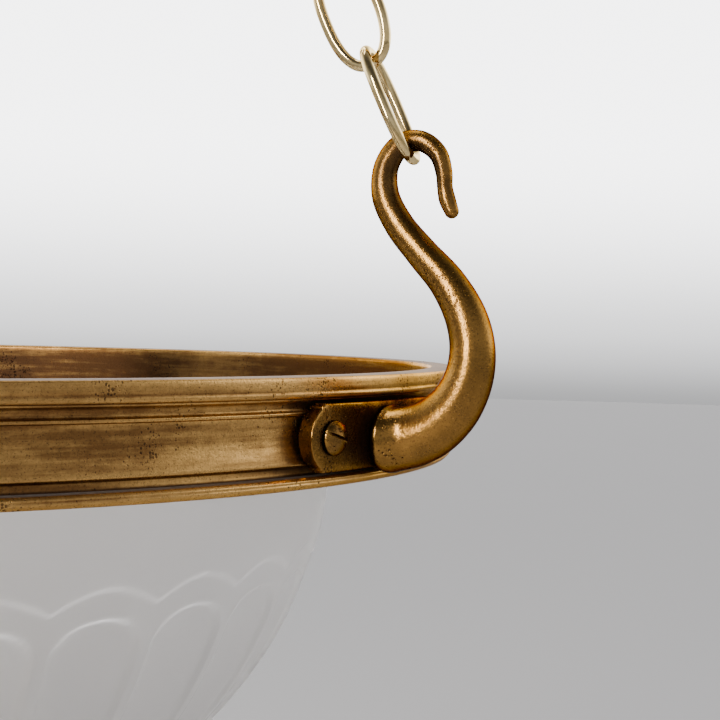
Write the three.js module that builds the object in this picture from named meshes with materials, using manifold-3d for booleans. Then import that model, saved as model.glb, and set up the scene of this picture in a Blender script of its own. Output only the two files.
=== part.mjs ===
// Hanging bowl light. A hook on a ceiling plate carries a ring, the ring a crown with three arms, and
// three chains run from the crown to three cast hooks on a moulded brass ring that holds a glass bowl.
// A stem from the crown carries one lamp inside the bowl.
// Millimetres, +Z up. The origin is the centre of the plate's flat face, which meets the ceiling.
import * as THREE from 'three';
import { mergeVertices } from 'three/addons/utils/BufferGeometryUtils.js';
import Module from 'manifold-3d';

const wasm = await Module();
wasm.setup();

const gap = 0.3; // between pieces that touch
const sideCount = 3; // chains, crown arms and cast hooks
const firstAzimuth = -90; // degrees from +X to the first chain

// Moulded ring round the bowl.
const ringBore = 190; // inner radius at the rim
const ringWall = 8.3; // rim to the face of the top bead
const ringHeight = 26;
const ledgeThickness = 3;
const topBeadHeight = 5.4;
const lowerBeadHeight = 3.2;
const friezeHeight = ringHeight - topBeadHeight - lowerBeadHeight;
const friezeInset = 3.9; // frieze behind the face of the top bead
const lowerBeadInset = 1.6; // lower bead behind the face of the top bead
const ledgeDrop = ringHeight - 5.5; // rim down to the ledge that the bowl rests on

// Glass bowl.
const bowlRadius = 160.4;
const bowlDepth = 127; // half-ellipse below the straight neck
const bowlNeckDrop = ledgeDrop + 9.5; // rim down to the foot of the straight neck
const bowlWall = 5;
const lipThickness = 4.5;
const lipClearance = 3.5; // lip to the ring's bore
const neckClearance = 3; // neck to the edge of the ledge

// Cast hooks on the ring.
const lugThickness = 3.8;
const lugHeight = friezeHeight - 1.6;
const lugDrop = topBeadHeight + friezeHeight / 2; // rim down to the middle of the lug plate
const lugHalfLength = 33;
const lugLobeRadius = 8; // about the screw
const lugShoulder = 4.2; // screw out to the shoulders of the end lobe
const hookRootDiameter = 15.6;
const hookTipDiameter = 3.2;
const hookTaper = 0.78; // below 1 it thins sooner
const hookBellyRadius = 21;
const hookBellyHeight = 5.5; // rim up to the belly's centre
const hookBellyReach = 0.8; // lug's face out to the belly's centre
const hookCrookRadius = 8.2;
const hookCrookHeight = 48.2; // rim up to the crook's centre
const hookCrookReach = 5.7; // lug's face out to the crook's centre
const hookTipDrop = 9;
const linkSeatAngle = 101; // degrees round the crook to the first link's wire
const screwReach = lugHalfLength - lugLobeRadius; // hook's middle to a lug screw
const screwShankRadius = 1.9;
const screwHeadRadius = 4.15;
const screwHeadHeight = 2.6;
const screwBite = 3; // depth in the ring's wall
const slotWidth = 0.9;
const slotDepth = 1.1;

// Chains.
const linkCount = 11;
const linkLength = 32;
const linkWidth = 17.5;
const linkWire = 2.8;
const linkRoundness = 2.35; // 2 is an ellipse, more is squarer
const chainLean = 25.6; // degrees from upright, towards the axis
const firstLinkTurn = 10; // degrees that the first link is swivelled in the crook

// Crown.
const eyeRadius = 4.4;
const eyeWire = 3.6;
const armWire = 6.4;
const armRise = 20; // arm's root above the eyes
const hubRadius = 13;
const hubHeight = 46;
const topEyeRadius = 7;
const topEyeWire = 5;

// Ceiling fittings.
const plateRadius = 44;
const plateThickness = 5;
const bossRadius = 11;
const bossHeight = 9;
const plateScrewCircle = 32;
const plateScrewShank = 2;
const plateScrewHead = 4;
const plateScrewLength = 25;
const hookShankRadius = 3.4;
const ceilingHookRadius = 13.5;
const ceilingHookDrop = 16; // boss down to the top of the loop
const ceilingNutHeight = 5;
const ceilingNutRadius = 8;
const topRingRadius = 17;
const topRingWire = 5;

// Stem and lamp.
const stemRadius = 5;
const stemBore = 3.5;
const stemSocket = 12; // depth in the hub and in the lampholder cap
const stemNutHeight = 4;
const stemNutRadius = 9;
const bulbCapRadius = 11;
const bulbCapHeight = 24;
const holderBore = bulbCapRadius + 0.5;
const holderRadius = holderBore + 2.5;
const holderHeight = bulbCapHeight + 6;
const holderCapHeight = 20;
const holderAboveRim = 6; // foot of the lampholder
const insulatorHeight = 9;
const bulbRadius = 30;
const bulbLength = 82; // cap to the lowest point of the glass
const bulbWall = 1;
const bayonetPinRadius = 1;
const bayonetPinReach = 1.6;
const bayonetTurn = 20; // degrees
const flexHoleRadius = 3;

const azimuths = Array.from({ length: sideCount }, (_, i) => firstAzimuth + (360 / sideCount) * i);
const turn = (degrees) => THREE.MathUtils.degToRad(degrees);
const ringFace = ringBore + ringWall;
const lugBack = ringFace - friezeInset + 4 * gap;
const lugFace = lugBack + lugThickness;
const wireRadius = linkWire / 2;
const linkSpan = linkLength - linkWire; // between the two ends of the wire's centreline
const linkPitch = linkSpan - linkWire - gap;
const chainLength = (linkCount - 1) * linkPitch + linkSpan;
const chainUp = new THREE.Vector2(-Math.sin(turn(chainLean)), Math.cos(turn(chainLean)));

const metal = (color, roughness) => new THREE.MeshStandardMaterial({ color, roughness, metalness: 1 });
const agedBrass = metal(0x8f6f3c, 0.42);
const castBrass = metal(0xa88449, 0.34);
const chainBrass = metal(0xd8c48c, 0.18);
const tubeBrass = metal(0xb39050, 0.3);
const platedSteel = metal(0xb8b8b4, 0.3);
const moulding = new THREE.MeshStandardMaterial({ color: 0x2a1d16, roughness: 0.5, metalness: 0 });
const frosted = new THREE.MeshStandardMaterial({ color: 0xdcdad8, roughness: 0.45, metalness: 0 });
const clear = new THREE.MeshStandardMaterial({ color: 0xf2f0ea, roughness: 0.2, metalness: 0 });

// A closed geometry as a solid that can be joined and cut.
function solidOf(geometry) {
  geometry.deleteAttribute('normal');
  geometry.deleteAttribute('uv');
  const merged = mergeVertices(geometry, 1e-4);
  const corners = merged.index.array;
  const kept = [];
  for (let i = 0; i < corners.length; i += 3) {
    const [a, b, c] = [corners[i], corners[i + 1], corners[i + 2]];
    if (a !== b && b !== c && c !== a) kept.push(a, b, c);
  }
  return new wasm.Manifold(new wasm.Mesh({
    numProp: 3,
    vertProperties: new Float32Array(merged.attributes.position.array),
    triVerts: new Uint32Array(kept),
  }));
}

function geometryOf(solid) {
  const mesh = solid.getMesh();
  const geometry = new THREE.BufferGeometry();
  geometry.setAttribute('position', new THREE.BufferAttribute(mesh.vertProperties, 3));
  geometry.setIndex(new THREE.BufferAttribute(mesh.triVerts, 1));
  geometry.computeVertexNormals();
  return geometry;
}

function piece(name, solid, material) {
  const mesh = new THREE.Mesh(geometryOf(solid), material);
  mesh.name = name;
  return mesh;
}

// An outline of [radius, height] pairs turned about Z, listed upwards on its outer side.
function turned(outline, segments) {
  const points = outline.map(([radius, height]) => new THREE.Vector2(radius, height));
  const first = outline[0];
  const last = outline[outline.length - 1];
  const onAxis = first[0] === 0 && last[0] === 0;
  if (!onAxis) points.push(points[0].clone());
  return solidOf(new THREE.LatheGeometry(points, segments).rotateX(Math.PI / 2));
}

function rod(radius, low, high, segments = 24) {
  return turned([[0, low], [radius, low], [radius, high], [0, high]], segments);
}

function hexagon(radius, bore, low, high) {
  const nut = solidOf(new THREE.CylinderGeometry(radius, radius, high - low, 6).rotateX(Math.PI / 2));
  return nut.translate([0, 0, (low + high) / 2]).subtract(rod(bore, low - 1, high + 1));
}

// Points of an arc about a centre, angles in degrees.
function arc(centre, radius, from, to, steps) {
  return Array.from({ length: steps + 1 }, (_, i) => {
    const angle = turn(from + ((to - from) * i) / steps);
    return [centre[0] + radius * Math.cos(angle), centre[1] + radius * Math.sin(angle)];
  });
}

// A round bar along a curve in the XZ plane, its radius given along its length.
function swept(curve, radiusAt, steps, sides, closed = false) {
  const across = new THREE.Vector3(0, 1, 0);
  const positions = [];
  const rings = closed ? steps : steps + 1;
  for (let i = 0; i < rings; i++) {
    const along = i / steps;
    const centre = curve.getPointAt(along);
    const side = across.clone().cross(curve.getTangentAt(along));
    for (let j = 0; j < sides; j++) {
      const angle = (2 * Math.PI * j) / sides;
      const point = centre.clone();
      point.addScaledVector(side, radiusAt(along) * Math.cos(angle));
      point.addScaledVector(across, radiusAt(along) * Math.sin(angle));
      positions.push(point.x, point.y, point.z);
    }
  }
  const index = [];
  for (let i = 0; i < steps; i++) {
    for (let j = 0; j < sides; j++) {
      const a = i * sides + j;
      const b = i * sides + ((j + 1) % sides);
      const c = ((i + 1) % rings) * sides + j;
      const d = ((i + 1) % rings) * sides + ((j + 1) % sides);
      index.push(a, b, c, b, d, c);
    }
  }
  for (let j = 1; !closed && j < sides - 1; j++) {
    const end = steps * sides;
    index.push(0, j + 1, j, end, end + j, end + j + 1);
  }
  const geometry = new THREE.BufferGeometry();
  geometry.setAttribute('position', new THREE.Float32BufferAttribute(positions, 3));
  geometry.setIndex(index);
  return solidOf(geometry);
}

// A circular arc in the XZ plane, angles in degrees from +X towards +Z.
class UprightArc extends THREE.Curve {
  constructor(x, z, radius, from, to) {
    super();
    Object.assign(this, { x, z, radius, from, to });
  }

  getPoint(t, target = new THREE.Vector3()) {
    const angle = turn(this.from + (this.to - this.from) * t);
    return target.set(this.x + this.radius * Math.cos(angle), 0, this.z + this.radius * Math.sin(angle));
  }
}

// Centreline of a chain link, its length along Z.
class LinkOval extends THREE.Curve {
  getPoint(t, target = new THREE.Vector3()) {
    const reach = (value) => Math.sign(value) * Math.abs(value) ** (2 / linkRoundness);
    const angle = 2 * Math.PI * t;
    const halfWidth = (linkWidth - linkWire) / 2;
    return target.set(halfWidth * reach(Math.cos(angle)), 0, (linkSpan / 2) * reach(Math.sin(angle)));
  }
}

function pathOf(...curves) {
  const path = new THREE.CurvePath();
  curves.forEach((curve) => path.add(curve));
  return path;
}

const at = (x, z) => new THREE.Vector3(x, 0, z);

// Moulded ring, rim at z 0: top bead, quirk, cove, fine bead, hollow frieze, groove and lower bead.
function galleryRing() {
  const low = -ringHeight;
  const ledgeTop = -ledgeDrop;
  const ledgeEdge = bowlRadius + neckClearance;
  const frieze = ringFace - friezeInset;
  const lowerBead = ringFace - lowerBeadInset;
  const friezeTop = -topBeadHeight - 4;
  const friezeFoot = low + lowerBeadHeight + 2.4;
  const bead = arc([ringFace - 1, -1], 1, 0, 90, 2);
  let ring = turned([
    [ringBore + 2, low],
    [lowerBead - 0.9, low],
    [lowerBead, low + 0.8],
    [lowerBead, low + lowerBeadHeight - 0.8],
    [lowerBead - 0.9, low + lowerBeadHeight],
    [frieze - 0.5, low + lowerBeadHeight],
    [frieze - 0.5, friezeFoot],
    [frieze + 0.5, friezeFoot + 0.3],
    [frieze - 0.1, (friezeTop + friezeFoot) / 2],
    [frieze + 0.2, friezeTop],
    [frieze + 0.7, friezeTop + 0.9],
    [frieze + 0.2, friezeTop + 1.4],
    [frieze + 0.2, friezeTop + 2.6],
    [frieze + 2.2, -topBeadHeight],
    [ringFace, -topBeadHeight + 1.2],
    ...bead,
    [ringBore + 0.6, 0],
    [ringBore, -0.6],
    [ringBore, ledgeTop],
    [ledgeEdge, ledgeTop],
    [ledgeEdge, ledgeTop - ledgeThickness],
    [ringBore + 2, ledgeTop - ledgeThickness],
  ], 48);
  for (const azimuth of azimuths) {
    for (const side of [-1, 1]) {
      ring = ring.subtract(screwHole(screwShankRadius + gap, screwBite + gap, side).rotate([0, 0, azimuth]));
    }
  }
  return ring;
}

// Direction of a lug screw, as degrees round the ring from the hook's middle.
const screwAngle = THREE.MathUtils.radToDeg(screwReach / lugFace);

// A radial drilling through the lug plate and into the ring's wall, for a hook on +X.
function screwHole(radius, bite, side) {
  const inner = ringFace - friezeInset - bite;
  const drill = rod(radius, inner, lugFace + 5).rotate([0, 90, 0]);
  return drill.rotate([0, 0, side * screwAngle]).translate([0, 0, -lugDrop]);
}

// Face of the lug plate seen from outside, upright in Y: a bar with a round lobe at each end.
function lugOutline() {
  const half = lugHeight / 2;
  const shoulder = screwReach + lugShoulder;
  const lobeAngle = THREE.MathUtils.radToDeg(Math.acos(lugShoulder / lugLobeRadius));
  const right = [
    [shoulder - 1, -half],
    [shoulder, -half + 0.5],
    ...arc([screwReach, 0], lugLobeRadius, -lobeAngle, lobeAngle, 10),
    [shoulder, half - 0.5],
    [shoulder - 1, half],
  ];
  const left = right.map(([x, y]) => [-x, -y]);
  return new THREE.Shape([...right, ...left].map(([x, y]) => new THREE.Vector2(x, y)));
}

// Centreline of a cast hook on +X, rim at z 0: belly, straight neck, crook and flared tip.
const hookBelly = [lugFace + hookBellyReach, hookBellyHeight];
const hookCrook = [lugFace + hookCrookReach, hookCrookHeight];

function hookPath() {
  const [crookX, crookZ] = hookCrook;
  const rootReach = lugThickness / 2 + hookBellyReach;
  const rootAngle = THREE.MathUtils.radToDeg(Math.asin(rootReach / hookBellyRadius));
  const belly = arc(hookBelly, hookBellyRadius, -90 - rootAngle, 18, 5);
  const neck = [[crookX + 2.4, crookZ - 18.2], [crookX - 5, crookZ - 10.6]];
  const crook = arc(hookCrook, hookCrookRadius, 198, 12, 6);
  const tip = [[crookX + 8.2, crookZ - 4], [crookX + 9.6, crookZ - hookTipDrop]];
  return new THREE.CatmullRomCurve3([...belly, ...neck, ...crook, ...tip].map(([x, z]) => at(x, z)));
}

const hookThinning = hookRootDiameter - hookTipDiameter;
const hookRadiusAt = (along) => (hookRootDiameter - hookThinning * along ** hookTaper) / 2;

function castHook() {
  const face = solidOf(new THREE.ExtrudeGeometry(lugOutline(), { depth: 40, bevelEnabled: false }));
  const half = lugHeight / 2;
  const shell = turned([[lugBack, -half], [lugFace, -half], [lugFace, half], [lugBack, half]], 120);
  const bar = face.rotate([90, 0, 90]).translate([lugBack - 20, 0, 0]);
  const plate = bar.intersect(shell).translate([0, 0, -lugDrop]);
  let hook = plate.add(swept(hookPath(), hookRadiusAt, 22, 8));
  for (const side of [-1, 1]) hook = hook.subtract(screwHole(screwShankRadius + gap, 0, side));
  return hook;
}

// Where the first link's wire lies in the crook, as a point of the hook's plane.
const crookAlong = 0.78;
const seatReach = hookCrookRadius - hookRadiusAt(crookAlong) - wireRadius - gap;
const [chainFoot] = arc(hookCrook, seatReach, linkSeatAngle, linkSeatAngle, 1);
const chainHead = [chainFoot[0] + chainLength * chainUp.x, chainFoot[1] + chainLength * chainUp.y];

// Slotted screw with a domed head, along Z, seat of the head at z 0.
function slottedScrew(shankRadius, shankLength, headRadius, headHeight) {
  const domeRadius = (headRadius ** 2 + headHeight ** 2) / (2 * headHeight);
  const edgeAngle = THREE.MathUtils.radToDeg(Math.asin(headRadius / domeRadius));
  const dome = arc([0, headHeight - domeRadius], domeRadius, 90 - edgeAngle, 90, 3).slice(0, -1);
  const shank = [[0, -shankLength], [shankRadius, -shankLength], [shankRadius, 0]];
  const screw = turned([...shank, ...dome, [0, headHeight]], 12);
  const slot = new THREE.BoxGeometry(3 * headRadius, slotWidth, 2 * slotDepth);
  return screw.subtract(solidOf(slot).rotate([0, 0, 40]).translate([0, 0, headHeight]));
}

function hookScrew(side) {
  const depth = lugThickness + 4 * gap + screwBite;
  const screw = slottedScrew(screwShankRadius, depth, screwHeadRadius, screwHeadHeight);
  const outwards = screw.rotate([0, 90, 0]).translate([lugFace + gap, 0, 0]);
  return outwards.rotate([0, 0, side * screwAngle]).translate([0, 0, -lugDrop]);
}

function chainLink() {
  return swept(new LinkOval(), () => wireRadius, 16, 6, true).rotate([0, 0, 90]);
}

// Bowl, rim of the ring at z 0: half-ellipse, straight neck and a lip turned out over the ledge.
function glassBowl() {
  const lipFoot = -ledgeDrop + gap;
  const lipTop = lipFoot + lipThickness;
  const lipRadius = ringBore - lipClearance;
  const bend = arc([0, 0], 1, -90, 0, 7);
  const quarter = (radius, depth) => bend.map(([x, y]) => [x * radius, y * depth - bowlNeckDrop]);
  const outer = quarter(bowlRadius, bowlDepth);
  const inner = quarter(bowlRadius - bowlWall, bowlDepth - bowlWall).reverse();
  outer[0][0] = 0;
  inner[inner.length - 1][0] = 0;
  return turned([
    ...outer,
    [bowlRadius, lipFoot - 2],
    [bowlRadius + 1.8, lipFoot],
    [lipRadius, lipFoot],
    [lipRadius, lipTop],
    [bowlRadius - bowlWall + 2, lipTop],
    [bowlRadius - bowlWall, lipTop - 2],
    ...inner,
  ], 48);
}

// Crown: hub with a stem socket and a flex inlet, three arms that end in eyes, and an eye on top.
const eyeHold = eyeRadius - eyeWire / 2 - wireRadius - gap;
const eyeCentre = [chainHead[0] + eyeHold * chainUp.x, chainHead[1] + eyeHold * chainUp.y];
const hubFoot = -8; // below the eyes
const hubTop = hubFoot + hubHeight;
const topEyeHeight = hubTop + topEyeRadius;

function crown() {
  const [reach] = eyeCentre;
  const eye = () => solidOf(new THREE.TorusGeometry(eyeRadius, eyeWire / 2, 6, 14).rotateX(Math.PI / 2));
  const armPath = new THREE.CubicBezierCurve3(
    at(hubRadius / 2, armRise),
    at(0.5 * reach, armRise + 16),
    at(reach - 2, armRise + 8),
    at(reach, eyeRadius),
  );
  let body = turned([
    [0, hubFoot],
    [hubRadius - 3, hubFoot],
    [hubRadius - 3, hubFoot + 8],
    [hubRadius, hubFoot + 12],
    [hubRadius, armRise + 6],
    [hubRadius - 6, armRise + 10],
    [hubRadius - 5, hubTop - 3],
    [hubRadius - 8, hubTop],
    [0, hubTop],
  ], 20);
  const topEye = new THREE.TorusGeometry(topEyeRadius, topEyeWire / 2, 8, 16).rotateX(Math.PI / 2);
  body = body.add(solidOf(topEye).translate([0, 0, topEyeHeight]));
  for (const azimuth of azimuths) {
    const arm = swept(armPath, () => armWire / 2, 10, 8).add(eye().translate([reach, 0, 0]));
    body = body.add(arm.rotate([0, 0, azimuth]));
  }
  body = body.subtract(rod(stemRadius + gap, hubFoot - 1, hubFoot + stemSocket + gap));
  body = body.subtract(rod(stemBore, hubFoot, armRise - 4, 12));
  const inlet = rod(flexHoleRadius, 0, 2 * hubRadius, 12).rotate([0, 60, firstAzimuth + 60]);
  return body.subtract(inlet.translate([0, 0, armRise - 10]));
}

// Heights above the ceiling plate's face, worked down from the plate to the rim.
const bossFoot = -plateThickness - bossHeight;
const loopCentre = bossFoot - ceilingHookDrop - ceilingHookRadius;
const ringHeadHeight = loopCentre - ceilingHookRadius + hookShankRadius + topRingWire / 2 + gap;
const topRingCentre = ringHeadHeight - topRingRadius;
const ringFootHeight = topRingCentre - topRingRadius;
const crownHeight = ringFootHeight + topRingWire / 2 + topEyeWire / 2 + gap - topEyeRadius - topEyeHeight;
const rimHeight = crownHeight - eyeCentre[1];

function ceilingPlate() {
  let plate = turned([
    [0, bossFoot],
    [bossRadius, bossFoot],
    [bossRadius, -plateThickness - 3],
    [bossRadius + 3, -plateThickness],
    [plateRadius - 2, -plateThickness],
    [plateRadius, -plateThickness + 2],
    [plateRadius, 0],
    [0, 0],
  ], 40);
  plate = plate.subtract(rod(hookShankRadius + gap, bossFoot - 1, -plateThickness + 2));
  for (const azimuth of azimuths) {
    plate = plate.subtract(plateScrew(gap).translate([plateScrewCircle, 0, 0]).rotate([0, 0, azimuth + 60]));
  }
  return plate;
}

// Countersunk wood screw through the plate, head down; with growth it is the hole that it needs.
function plateScrew(growth) {
  const head = plateScrewHead + growth;
  const shank = plateScrewShank + growth;
  const foot = -plateThickness - growth;
  const point = growth > 0 ? [] : [[0.6, plateScrewLength]];
  const screw = turned([
    [0, foot],
    [head, foot],
    [head, -plateThickness + 0.4],
    [shank, -plateThickness + 0.4 + (plateScrewHead - plateScrewShank)],
    [shank, plateScrewLength - 5],
    ...point,
    [0, plateScrewLength],
  ], 12);
  if (growth > 0) return screw;
  const slot = solidOf(new THREE.BoxGeometry(3 * head, slotWidth, 2 * slotDepth));
  return screw.subtract(slot.translate([0, 0, foot]));
}

// Hook of round bar: shank up into the boss, a bend to one side, then the loop with its mouth on -X.
function ceilingHook() {
  const bendEnd = 55;
  const shankTop = -plateThickness + 2 - gap;
  const start = at(0, bossFoot - ceilingNutHeight - 2 * gap);
  const joinX = ceilingHookRadius * Math.cos(turn(bendEnd));
  const joinZ = loopCentre + ceilingHookRadius * Math.sin(turn(bendEnd));
  const path = pathOf(
    new THREE.LineCurve3(at(0, shankTop), start),
    new THREE.CubicBezierCurve3(
      start,
      at(0, joinZ + 3),
      at(joinX - 6 * Math.sin(turn(bendEnd)), joinZ + 6 * Math.cos(turn(bendEnd))),
      at(joinX, joinZ),
    ),
    new UprightArc(0, loopCentre, ceilingHookRadius, bendEnd, -215),
  );
  return swept(path, () => hookShankRadius, 28, 8);
}

function topRing() {
  const ring = solidOf(new THREE.TorusGeometry(topRingRadius, topRingWire / 2, 8, 24).rotateY(Math.PI / 2));
  return ring.translate([0, 0, topRingCentre]);
}

// Heights of the lamp's pieces above the rim.
const holderFoot = holderAboveRim;
const holderTop = holderFoot + holderHeight;
const holderCapTop = holderTop + holderCapHeight;
const stemFoot = holderCapTop - stemSocket;
const stemTop = eyeCentre[1] + hubFoot + stemSocket;
const bulbCapTop = holderTop - insulatorHeight - 2 * gap;
const bulbCapFoot = bulbCapTop - bulbCapHeight;

function dropStem() {
  return rod(stemRadius, stemFoot, stemTop).subtract(rod(stemBore, stemFoot - 1, stemTop + 1, 16));
}

function stemNut() {
  const top = eyeCentre[1] + hubFoot - gap;
  return hexagon(stemNutRadius, stemRadius + gap, top - stemNutHeight, top);
}

function holderCap() {
  const cap = turned([
    [0, holderTop + gap],
    [holderRadius + 1, holderTop + gap],
    [holderRadius + 1, holderTop + 6],
    ...arc([0, holderTop + 6], holderRadius, 10, 55, 4),
    [stemRadius + 2.5, holderCapTop],
    [0, holderCapTop],
  ], 20);
  const hollow = turned([
    [0, holderTop],
    [holderBore, holderTop],
    [holderBore, holderTop + 4],
    [0, holderTop + 6],
  ], 24);
  const socket = rod(stemRadius + gap, stemFoot - gap, holderCapTop + 1);
  return cap.subtract(hollow).subtract(socket).subtract(rod(stemBore, holderTop, stemFoot + 1, 16));
}

// Sector of a flat ring, angles in degrees, for the bayonet slots.
function sector(inner, outer, from, to, low, high) {
  const outline = [...arc([0, 0], outer, from, to, 4), ...arc([0, 0], inner, to, from, 4)];
  const shape = new THREE.Shape(outline.map(([x, y]) => new THREE.Vector2(x, y)));
  const flat = new THREE.ExtrudeGeometry(shape, { depth: high - low, bevelEnabled: false });
  return solidOf(flat).translate([0, 0, low]);
}

const pinAngle = THREE.MathUtils.radToDeg((bayonetPinRadius + gap) / bulbCapRadius);
const pinHeight = bulbCapTop - 7;

function holderBody() {
  let body = turned([
    [holderBore, holderFoot],
    [holderRadius, holderFoot],
    [holderRadius, holderTop],
    [holderBore, holderTop],
  ], 24);
  const play = bayonetPinRadius + gap;
  for (const side of [0, 180]) {
    const entryAngle = side + bayonetTurn;
    const seatSpan = [side - pinAngle, entryAngle + pinAngle];
    const entrySpan = [entryAngle - pinAngle, entryAngle + pinAngle];
    const seat = sector(holderBore - 1, holderRadius + 1, ...seatSpan, pinHeight - play, pinHeight + play);
    const entry = sector(holderBore - 1, holderBore + 1.4, ...entrySpan, holderFoot - 1, pinHeight);
    body = body.subtract(seat).subtract(entry);
  }
  return body;
}

function holderInsulator() {
  const foot = holderTop - insulatorHeight;
  const disc = rod(holderBore - gap, foot, holderTop - gap, 30);
  return [-4, 4].reduce((body, x) => body.subtract(rod(1.6, foot - 1, holderTop + 1, 10).translate([x, 0, 0])), disc);
}

function bulbCap() {
  const wall = 1;
  let cap = turned([
    [bulbCapRadius - wall, bulbCapFoot],
    [bulbCapRadius, bulbCapFoot],
    [bulbCapRadius, bulbCapTop - 1],
    [bulbCapRadius - 1, bulbCapTop],
    [0, bulbCapTop],
    [0, bulbCapTop - wall],
    [bulbCapRadius - wall, bulbCapTop - wall - 1],
  ], 20);
  for (const side of [-1, 1]) {
    const pin = rod(bayonetPinRadius, bulbCapRadius - wall / 2, bulbCapRadius + bayonetPinReach, 8);
    cap = cap.add(pin.rotate([0, 90 * side, 0]).translate([0, 0, pinHeight]));
  }
  return cap;
}

function bulbGlass() {
  const neckRadius = bulbCapRadius - 1 - gap;
  const neckTop = bulbCapTop - 6;
  const centre = [0, bulbCapFoot - bulbLength + bulbRadius];
  const wall = (inset) => {
    const ball = arc(centre, bulbRadius - inset, -90, 38, 7);
    ball[0][0] = 0;
    const neck = [[neckRadius + 3, bulbCapFoot - 8], [neckRadius, bulbCapFoot - gap], [neckRadius, neckTop]];
    return [...ball, ...neck.map(([x, z]) => [x - inset, z])];
  };
  return turned([...wall(0), ...wall(bulbWall).reverse()], 20);
}

const light = new THREE.Group();
light.add(piece('ceiling_plate', ceilingPlate(), tubeBrass));
light.add(piece('ceiling_hook', ceilingHook(), castBrass));
const nutTop = bossFoot - gap;
const ceilingNut = hexagon(ceilingNutRadius, hookShankRadius + gap, nutTop - ceilingNutHeight, nutTop);
light.add(piece('ceiling_hook_nut', ceilingNut, tubeBrass));
light.add(piece('top_ring', topRing(), chainBrass));
azimuths.forEach((azimuth, i) => {
  const place = new THREE.Group();
  place.rotation.z = turn(azimuth + 60);
  const screw = piece(`ceiling_screw_${i + 1}`, plateScrew(0), platedSteel);
  screw.position.x = plateScrewCircle;
  place.add(screw);
  light.add(place);
});

const crownPiece = piece('crown', crown(), castBrass);
crownPiece.position.z = crownHeight;
light.add(crownPiece);

// Everything below is placed from the rim of the ring.
const pendant = new THREE.Group();
pendant.position.z = rimHeight;
light.add(pendant);
pendant.add(piece('gallery_ring', galleryRing(), agedBrass));
pendant.add(piece('glass_bowl', glassBowl(), frosted));
pendant.add(piece('drop_stem', dropStem(), tubeBrass));
pendant.add(piece('stem_nut', stemNut(), tubeBrass));
pendant.add(piece('lampholder_cap', holderCap(), tubeBrass));
pendant.add(piece('lampholder_body', holderBody(), tubeBrass));
pendant.add(piece('lampholder_insulator', holderInsulator(), moulding));
pendant.add(piece('bulb_cap', bulbCap(), platedSteel));
pendant.add(piece('bulb_glass', bulbGlass(), clear));

azimuths.forEach((azimuth, i) => {
  const side = new THREE.Group();
  side.rotation.z = turn(azimuth);
  pendant.add(side);
  side.add(piece(`hook_${i + 1}`, castHook(), castBrass));
  [-1, 1].forEach((hand, j) => side.add(piece(`hook_screw_${i + 1}${'ab'[j]}`, hookScrew(hand), castBrass)));

  const chain = new THREE.Group();
  chain.position.set(chainFoot[0], 0, chainFoot[1]);
  chain.rotation.y = -turn(chainLean);
  side.add(chain);
  for (let k = 0; k < linkCount; k++) {
    const number = String(k + 1).padStart(2, '0');
    const link = piece(`chain_${i + 1}_link_${number}`, chainLink(), chainBrass);
    const quarter = k % 2 === 0 ? 0 : 90;
    link.position.z = k * linkPitch + linkSpan / 2;
    link.rotation.z = turn(quarter + (k === 0 ? firstLinkTurn : 0));
    chain.add(link);
  }
});

export default light;
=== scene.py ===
# Hanging bowl light: moulded brass ring, cast hooks, polished chains and a pressed glass bowl.
import bpy
import math
import numpy as np
from functools import partial
from mathutils import Matrix, Vector


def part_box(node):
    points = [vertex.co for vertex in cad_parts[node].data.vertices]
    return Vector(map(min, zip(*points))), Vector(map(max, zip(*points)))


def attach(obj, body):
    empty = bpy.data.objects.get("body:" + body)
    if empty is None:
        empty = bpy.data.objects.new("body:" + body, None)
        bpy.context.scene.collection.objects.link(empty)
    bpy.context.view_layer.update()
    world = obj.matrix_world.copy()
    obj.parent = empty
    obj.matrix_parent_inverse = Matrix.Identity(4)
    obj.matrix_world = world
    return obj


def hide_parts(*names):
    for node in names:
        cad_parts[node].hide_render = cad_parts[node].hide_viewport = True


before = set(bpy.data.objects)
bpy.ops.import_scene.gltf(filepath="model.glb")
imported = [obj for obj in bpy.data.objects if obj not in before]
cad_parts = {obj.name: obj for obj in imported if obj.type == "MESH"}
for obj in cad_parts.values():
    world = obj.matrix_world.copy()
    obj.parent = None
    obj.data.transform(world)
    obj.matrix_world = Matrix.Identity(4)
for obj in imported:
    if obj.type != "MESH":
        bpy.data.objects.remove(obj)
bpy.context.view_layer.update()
mm = 0.001
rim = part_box("gallery_ring")[1].z / mm  # height of the ring's rim, below the ceiling
azimuths = [-90, 30, 150]  # chains and hooks, degrees from +X
linkCount = 11


# Mesh helpers work in millimetres; meshObject scales them to metres

def smooth01(value, low, high):
    t = np.clip((value - low) / (high - low), 0, 1)
    return t * t * (3 - 2 * t)


def meshObject(name, points, faces, material, sharp=None):
    mesh = bpy.data.meshes.new(name)
    mesh.from_pydata([tuple(p * mm) for p in np.asarray(points, float)], [], faces)
    mesh.materials.append(material)
    mesh.shade_smooth()
    if sharp:
        mesh.set_sharp_from_angle(angle=math.radians(sharp))
    obj = bpy.data.objects.new(name, mesh)
    bpy.context.scene.collection.objects.link(obj)
    return obj


def gridFaces(rows, columns, closeRows=False):
    faces = []
    for i in range(rows if closeRows else rows - 1):
        for j in range(columns):
            here, above, beside = i * columns, (i + 1) % rows * columns, (j + 1) % columns
            faces.append((here + j, here + beside, above + beside, above + j))
    return faces


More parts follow.
